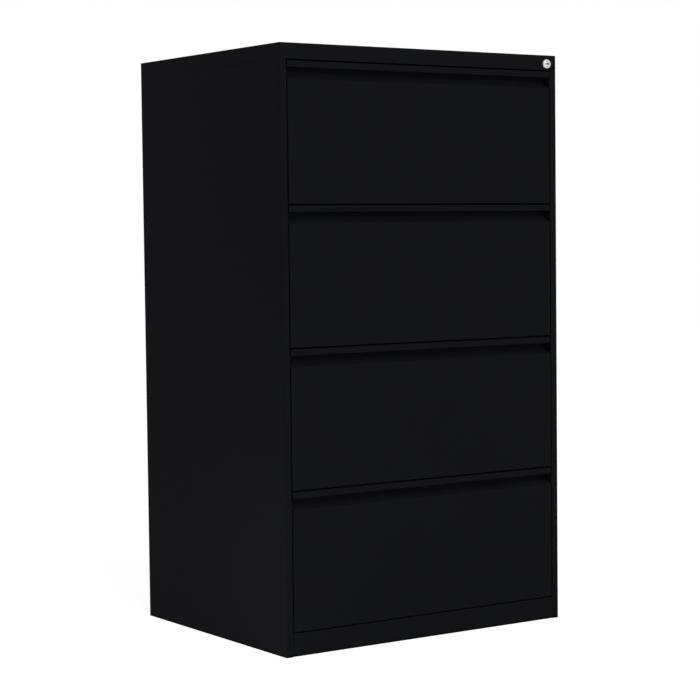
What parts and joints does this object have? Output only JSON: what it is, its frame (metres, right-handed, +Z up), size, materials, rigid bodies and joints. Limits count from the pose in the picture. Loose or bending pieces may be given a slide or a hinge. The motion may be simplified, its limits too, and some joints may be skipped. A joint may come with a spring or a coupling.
{
  "type": "lateral filing cabinet",
  "caption": "Tall black steel lateral filing cabinet with full-width drawers on telescopic slides, recessed pulls along each drawer's top and a lock in the top rail.",
  "frame": {"origin": "on the floor under the middle of the case", "axes": "+Z up, -Y towards the user in front of the drawers, +X to the user's right"},
  "size_m": [0.762, 0.6202, 1.321],
  "materials": {
    "case_paint": "near-black powder coat, fine orange-peel texture, satin to matt",
    "drawer_paint": "near-black powder coat, fine orange-peel texture, satin to matt",
    "zinc_steel": "bright zinc plate on rolled steel",
    "lock_chrome": "satin chrome plate",
    "cast_steel": "bare cast surface, oiled",
    "glide_nylon": "moulded black nylon"
  },
  "bodies": {
    "case": {"side_panel_left": "case_paint", "side_panel_right": "case_paint", "back_panel": "case_paint", "top_cap": "case_paint", "base_front_rail": "case_paint", "base_rear_rail": "case_paint", "base_pan": "case_paint", "upright_front_left": "case_paint", "upright_front_right": "case_paint", "upright_rear_left": "case_paint", "upright_rear_right": "case_paint", "counterweight": "cast_steel", "glide_front_left": "glide_nylon", "glide_front_right": "glide_nylon", "glide_rear_left": "glide_nylon", "glide_rear_right": "glide_nylon", "lock_housing": "lock_chrome", "drawer_1_slide_outer_left": "zinc_steel", "drawer_1_slide_outer_right": "zinc_steel", "drawer_2_slide_outer_left": "zinc_steel", "drawer_2_slide_outer_right": "zinc_steel", "drawer_3_slide_outer_left": "zinc_steel", "drawer_3_slide_outer_right": "zinc_steel", "drawer_4_slide_outer_left": "zinc_steel", "drawer_4_slide_outer_right": "zinc_steel"},
    "drawer_1": {"drawer_1_front": "drawer_paint", "drawer_1_tray": "drawer_paint", "drawer_1_centre_rail": "zinc_steel", "drawer_1_catch": "zinc_steel", "drawer_1_slide_inner_left": "zinc_steel", "drawer_1_slide_inner_right": "zinc_steel"},
    "drawer_1_slide_middle": {"drawer_1_slide_middle_left": "zinc_steel", "drawer_1_slide_middle_right": "zinc_steel"},
    "drawer_2": {"drawer_2_front": "drawer_paint", "drawer_2_tray": "drawer_paint", "drawer_2_centre_rail": "zinc_steel", "drawer_2_catch": "zinc_steel", "drawer_2_slide_inner_left": "zinc_steel", "drawer_2_slide_inner_right": "zinc_steel"},
    "drawer_2_slide_middle": {"drawer_2_slide_middle_left": "zinc_steel", "drawer_2_slide_middle_right": "zinc_steel"},
    "drawer_3": {"drawer_3_front": "drawer_paint", "drawer_3_tray": "drawer_paint", "drawer_3_centre_rail": "zinc_steel", "drawer_3_catch": "zinc_steel", "drawer_3_slide_inner_left": "zinc_steel", "drawer_3_slide_inner_right": "zinc_steel"},
    "drawer_3_slide_middle": {"drawer_3_slide_middle_left": "zinc_steel", "drawer_3_slide_middle_right": "zinc_steel"},
    "drawer_4": {"drawer_4_front": "drawer_paint", "drawer_4_tray": "drawer_paint", "drawer_4_centre_rail": "zinc_steel", "drawer_4_catch": "zinc_steel", "drawer_4_slide_inner_left": "zinc_steel", "drawer_4_slide_inner_right": "zinc_steel"},
    "drawer_4_slide_middle": {"drawer_4_slide_middle_left": "zinc_steel", "drawer_4_slide_middle_right": "zinc_steel"},
    "lock_cylinder": {"lock_plug": "lock_chrome", "lock_cam": "zinc_steel"},
    "lock_bar": {"lock_bar": "zinc_steel"}
  },
  "joints": [
    {"name": "drawer_1_slide", "type": "slide", "parent": "case", "child": "drawer_1", "axis": [0, -1, 0], "range_m": [0, 0.48]},
    {"name": "drawer_1_middle_slide", "type": "slide", "parent": "case", "child": "drawer_1_slide_middle", "axis": [0, -1, 0], "range_m": [0, 0.24]},
    {"name": "drawer_2_slide", "type": "slide", "parent": "case", "child": "drawer_2", "axis": [0, -1, 0], "range_m": [0, 0.48]},
    {"name": "drawer_2_middle_slide", "type": "slide", "parent": "case", "child": "drawer_2_slide_middle", "axis": [0, -1, 0], "range_m": [0, 0.24]},
    {"name": "drawer_3_slide", "type": "slide", "parent": "case", "child": "drawer_3", "axis": [0, -1, 0], "range_m": [0, 0.48]},
    {"name": "drawer_3_middle_slide", "type": "slide", "parent": "case", "child": "drawer_3_slide_middle", "axis": [0, -1, 0], "range_m": [0, 0.24]},
    {"name": "drawer_4_slide", "type": "slide", "parent": "case", "child": "drawer_4", "axis": [0, -1, 0], "range_m": [0, 0.48]},
    {"name": "drawer_4_middle_slide", "type": "slide", "parent": "case", "child": "drawer_4_slide_middle", "axis": [0, -1, 0], "range_m": [0, 0.24]},
    {"name": "lock_turn", "type": "hinge", "parent": "case", "child": "lock_cylinder", "pos_m": [0.3524, -0.3075, 1.30075], "axis": [0, 1, 0], "range_deg": [0, 90]},
    {"name": "lock_bar_lift", "type": "slide", "parent": "case", "child": "lock_bar", "axis": [0, 0, 1], "range_m": [0, 0.0127]}
  ],
  "couplings": [
    {"joint": "drawer_1_middle_slide", "follows": "drawer_1_slide", "ratio": 0.5},
    {"joint": "drawer_2_middle_slide", "follows": "drawer_2_slide", "ratio": 0.5},
    {"joint": "drawer_3_middle_slide", "follows": "drawer_3_slide", "ratio": 0.5},
    {"joint": "drawer_4_middle_slide", "follows": "drawer_4_slide", "ratio": 0.5},
    {"joint": "lock_turn", "follows": "lock_bar_lift", "rad_per_m": 123.41}
  ]
}
